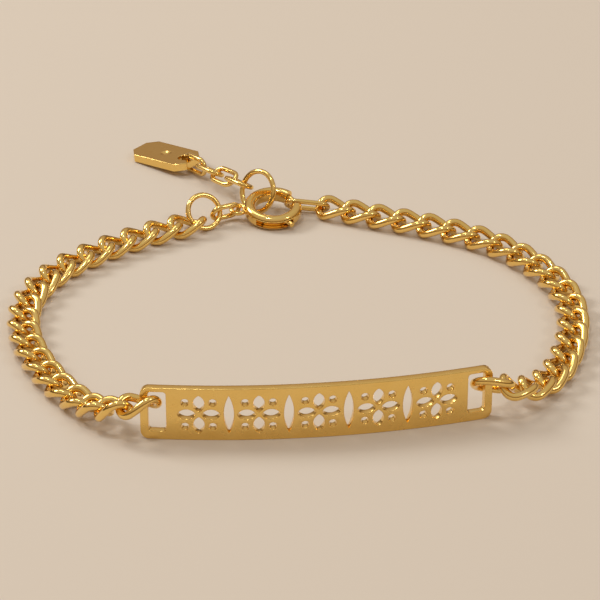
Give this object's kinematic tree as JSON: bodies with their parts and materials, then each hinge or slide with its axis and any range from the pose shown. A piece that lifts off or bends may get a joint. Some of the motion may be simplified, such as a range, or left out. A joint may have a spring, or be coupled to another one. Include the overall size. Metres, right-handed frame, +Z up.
{
  "type": "nameplate bracelet",
  "caption": "Gold-plated nameplate bracelet: a curved plate with pierced flowers, a flat curb chain, a spring ring clasp and a short extender with a plain tag.",
  "frame": {"origin": "middle of the bracelet's footprint, on the surface that it lies on", "axes": "+Z up; +Y from the plate to the clasp; +X to the right, seen from in front of the plate"},
  "size_m": [0.0616, 0.0658, 0.0059],
  "materials": {
    "satin_gold": "satin",
    "polished_gold": "polished"
  },
  "bodies": {
    "bracelet": {"plate": "satin_gold", "left_link_1": "polished_gold", "left_link_2": "polished_gold", "left_link_3": "polished_gold", "left_link_4": "polished_gold", "left_link_5": "polished_gold", "left_link_6": "polished_gold", "left_link_7": "polished_gold", "left_link_8": "polished_gold", "left_link_9": "polished_gold", "left_link_10": "polished_gold", "left_link_11": "polished_gold", "left_link_12": "polished_gold", "left_link_13": "polished_gold", "left_link_14": "polished_gold", "left_link_15": "polished_gold", "left_link_16": "polished_gold", "left_link_17": "polished_gold", "left_link_18": "polished_gold", "left_link_19": "polished_gold", "left_link_20": "polished_gold", "right_link_1": "polished_gold", "right_link_2": "polished_gold", "right_link_3": "polished_gold", "right_link_4": "polished_gold", "right_link_5": "polished_gold", "right_link_6": "polished_gold", "right_link_7": "polished_gold", "right_link_8": "polished_gold", "right_link_9": "polished_gold", "right_link_10": "polished_gold", "right_link_11": "polished_gold", "right_link_12": "polished_gold", "right_link_13": "polished_gold", "right_link_14": "polished_gold", "right_link_15": "polished_gold", "right_link_16": "polished_gold", "right_link_17": "polished_gold", "right_link_18": "polished_gold", "right_link_19": "polished_gold", "right_link_20": "polished_gold", "right_link_21": "polished_gold", "left_jump_ring": "polished_gold", "bridge_link": "polished_gold", "clasp_jump_ring": "polished_gold", "extender_link_1": "polished_gold", "extender_link_2": "polished_gold", "extender_link_3": "polished_gold", "extender_link_4": "polished_gold", "tag": "polished_gold", "spring_ring": "polished_gold", "clasp_link": "polished_gold"},
    "bolt": {"bolt": "polished_gold"}
  },
  "joints": [
    {"name": "bolt_pull", "type": "hinge", "parent": "bracelet", "child": "bolt", "pos_m": [-0.00018, 0.01388, 0.0013], "axis": [0, 0.1689, -0.9856], "range_deg": [0, 58], "stiffness_Nm_per_rad": 0.001}
  ]
}
